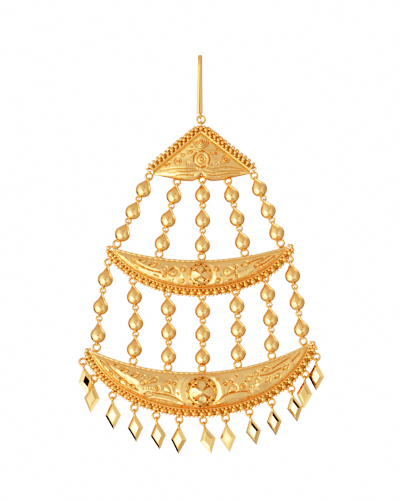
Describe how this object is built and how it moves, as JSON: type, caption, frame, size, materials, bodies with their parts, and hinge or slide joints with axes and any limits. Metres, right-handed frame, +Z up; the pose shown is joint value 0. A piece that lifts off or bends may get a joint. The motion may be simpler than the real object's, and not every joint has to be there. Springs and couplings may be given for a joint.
{
  "type": "maang tikka",
  "caption": "Gold head ornament: hair hook, tent-shaped top plate and crescent plates joined by strings of drop beads, with a fringe of diamond-shaped dangles.",
  "frame": {"origin": "where the hook bears on the hair or thread it hangs from, at the inside of its bend", "axes": "+Z up along the hanging ornament, front faces -Y, +X to the right as seen from the front"},
  "size_m": [0.0741, 0.0109, 0.1195],
  "materials": {
    "wire_gold": "polished yellow gold wire and bar",
    "embossed_gold": "polished yellow gold sheet, embossed and granulated, darker in its hollows",
    "bead_gold": "polished yellow gold balls in wire frames",
    "dangle_gold": "mirror-polished, bevelled yellow gold sheet"
  },
  "bodies": {
    "hook": {"hook": "wire_gold"},
    "ring": {"hook_ring": "wire_gold"},
    "pendant": {"dangle_1": "dangle_gold", "dangle_10": "dangle_gold", "dangle_11": "dangle_gold", "dangle_12": "dangle_gold", "dangle_13": "dangle_gold", "dangle_2": "dangle_gold", "dangle_3": "dangle_gold", "dangle_4": "dangle_gold", "dangle_5": "dangle_gold", "dangle_6": "dangle_gold", "dangle_7": "dangle_gold", "dangle_8": "dangle_gold", "dangle_9": "dangle_gold", "lower_crescent": "embossed_gold", "lower_string_1_bead_1": "bead_gold", "lower_string_1_bead_2": "bead_gold", "lower_string_1_bead_3": "bead_gold", "lower_string_2_bead_1": "bead_gold", "lower_string_2_bead_2": "bead_gold", "lower_string_2_bead_3": "bead_gold", "lower_string_3_bead_1": "bead_gold", "lower_string_3_bead_2": "bead_gold", "lower_string_3_bead_3": "bead_gold", "lower_string_4_bead_1": "bead_gold", "lower_string_4_bead_2": "bead_gold", "lower_string_4_bead_3": "bead_gold", "lower_string_5_bead_1": "bead_gold", "lower_string_5_bead_2": "bead_gold", "lower_string_5_bead_3": "bead_gold", "lower_string_6_bead_1": "bead_gold", "lower_string_6_bead_2": "bead_gold", "lower_string_6_bead_3": "bead_gold", "lower_string_7_bead_1": "bead_gold", "lower_string_7_bead_2": "bead_gold", "lower_string_7_bead_3": "bead_gold", "lower_string_links_1": "wire_gold", "lower_string_links_2": "wire_gold", "middle_crescent": "embossed_gold", "top_plate": "embossed_gold", "upper_string_1_bead_1": "bead_gold", "upper_string_1_bead_2": "bead_gold", "upper_string_1_bead_3": "bead_gold", "upper_string_2_bead_1": "bead_gold", "upper_string_2_bead_2": "bead_gold", "upper_string_2_bead_3": "bead_gold", "upper_string_3_bead_1": "bead_gold", "upper_string_3_bead_2": "bead_gold", "upper_string_3_bead_3": "bead_gold", "upper_string_4_bead_1": "bead_gold", "upper_string_4_bead_2": "bead_gold", "upper_string_4_bead_3": "bead_gold", "upper_string_5_bead_1": "bead_gold", "upper_string_5_bead_2": "bead_gold", "upper_string_5_bead_3": "bead_gold", "upper_string_links_1": "wire_gold", "upper_string_links_2": "wire_gold"}
  },
  "joints": [
    {"name": "ring_swing", "type": "hinge", "parent": "hook", "child": "ring", "pos_m": [0, -0.0031, -0.0175], "axis": [1, 0, 0], "range_deg": [-60, 60]},
    {"name": "pendant_swing", "type": "hinge", "parent": "ring", "child": "pendant", "pos_m": [0, -0.0031, -0.0187], "axis": [0, 1, 0], "range_deg": [-40, 40]}
  ]
}
